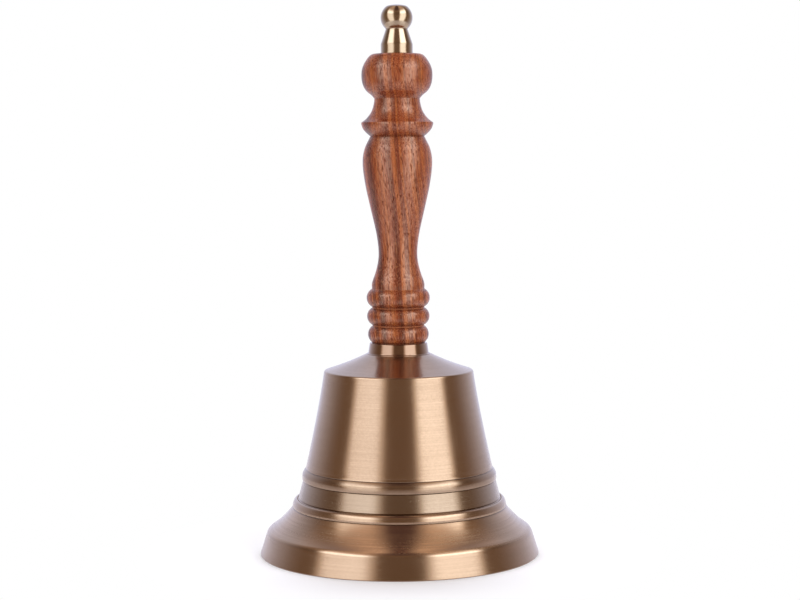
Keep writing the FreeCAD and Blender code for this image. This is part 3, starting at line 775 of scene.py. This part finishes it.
el = K.math("MULTIPLY", K.math("ARCSINE", wz), 180 / math.pi)


def over(e0, e1, v0, v1):
    nd = K.n("MapRange", interpolation_type="SMOOTHSTEP")
    K.link(el, nd.inputs[0])
    for i, v in ((1, e0), (2, e1), (3, v0), (4, v1)):
        nd.inputs[i].default_value = v
    return nd.outputs[0]


def scaled(c, v):
    nd = K.n("VectorMath", operation="SCALE")
    if isinstance(c, tuple):
        nd.inputs[0].default_value = c
    else:
        K.link(c, nd.inputs[0])
    K.put(nd.inputs["Scale"], v)
    return nd.outputs[0]


def plus(a, b):
    nd = K.n("VectorMath", operation="ADD")
    K.link(a, nd.inputs[0])
    K.link(b, nd.inputs[1])
    return nd.outputs[0]


# softboxes: crisp sides low down, wide and soft overhead
high = over(48.0, 62.0, 0.0, 1.0)
gain = K.math("MULTIPLY", over(16.0, 25.0, 1.0, 0.86), K.math("MULTIPLY", over(22.0, 35.0, 1.0, 1.95), over(39.0, 52.0, 1.0, 0.5)))
left = K.math("MULTIPLY", bands((-180, 0.0), (-72, 0.0), (-62, 0.9), (-40, 1.0), (-29, 0.97), (-16, 0.0), (180, 0.0)), gain)
right = K.math("MULTIPLY", bands((-180, 0.0), (19, 0.0), (29, 0.97), (40, 1.0), (64, 0.97), (73, 0.0), (180, 0.0)), gain)
left_h = bands((-180, 0.0), (-112, 0.0), (-80, 0.30), (-58, 0.66), (-42, 0.90), (-29, 0.88), (-10, 0.0), (180, 0.0))
right_h = bands((-180, 0.0), (14, 0.0), (31, 0.88), (42, 0.92), (58, 0.68), (80, 0.32), (112, 0.0), (180, 0.0))
left_h = K.math("MULTIPLY", left_h, over(72.0, 92.0, 0.80, 1.36))
right_h = K.math("MULTIPLY", right_h, over(72.0, 92.0, 0.80, 1.36))
lit = K.mix(high, scaled(K.mix(left, (1.30, 1.00, 0.76), (1.50, 1.58, 1.72)), left), scaled((0.86, 0.64, 0.50), left_h))
lit = plus(lit, K.mix(high, scaled(K.mix(right, (1.60, 1.25, 0.95), (1.80, 1.90, 2.04)), right), scaled((0.90, 0.67, 0.50), right_h)))
for stops in ((-0.08, 0.10, 1.0, 1.08), (0.16, 0.34, 1.0, 0.70)):
    fade = K.n("MapRange", interpolation_type="SMOOTHSTEP")
    K.link(wy, fade.inputs[0])
    for i, v in enumerate(stops, 1):
        fade.inputs[i].default_value = v
    lit = scaled(lit, fade.outputs[0])
# pale room behind, wrapping further round overhead
back = K.math("ADD", K.math("ABSOLUTE", az), over(45.0, 75.0, 0.0, 24.0))
back = K.ramp(K.math("DIVIDE", back, 180.0, clamp=True), [(0.47, 0.0), (0.54, 0.12), (0.62, 0.38), (0.72, 0.68), (0.85, 0.93), (1.0, 1.0)])
lit = plus(lit, scaled((0.56, 0.66, 0.92), back))
lit = plus(lit, scaled(K.mix(high, (0.235, 0.15, 0.10), (0.092, 0.05, 0.045)), K.math("MULTIPLY", over(16.0, 25.0, 1.0, 0.78), over(33.0, 46.0, 1.0, 1.5))))
bg = K.n("Background")
K.link(lit, bg.inputs[0])
bg.inputs[1].default_value = 1.0
bgc = K.n("Background")
bgc.inputs[0].default_value = (1, 1, 1, 1)
bgc.inputs[1].default_value = 1.0
lp = K.n("LightPath")
ms = K.n("MixShader")
K.link(lp.outputs["Is Camera Ray"], ms.inputs[0])
K.link(bg.outputs[0], ms.inputs[1])
K.link(bgc.outputs[0], ms.inputs[2])
wo = K.n("OutputWorld")
K.link(ms.outputs[0], wo.inputs[0])

cam = bpy.data.cameras.new("camera")
cam.lens, cam.sensor_width = 85.0, 36.0
cam.clip_start, cam.clip_end = 0.05, 50.0
camo = bpy.data.objects.new("camera", cam)
bpy.context.scene.collection.objects.link(camo)
look = Matrix.Rotation(math.radians(90 - 4.20), 4, "X")
camo.matrix_world = Matrix.Translation((0.00083, -0.8772, 0.1830)) @ look @ Matrix.Rotation(math.radians(-0.33), 4, "Z")
bpy.context.scene.camera = camo
bpy.context.scene.view_settings.view_transform = "Standard"
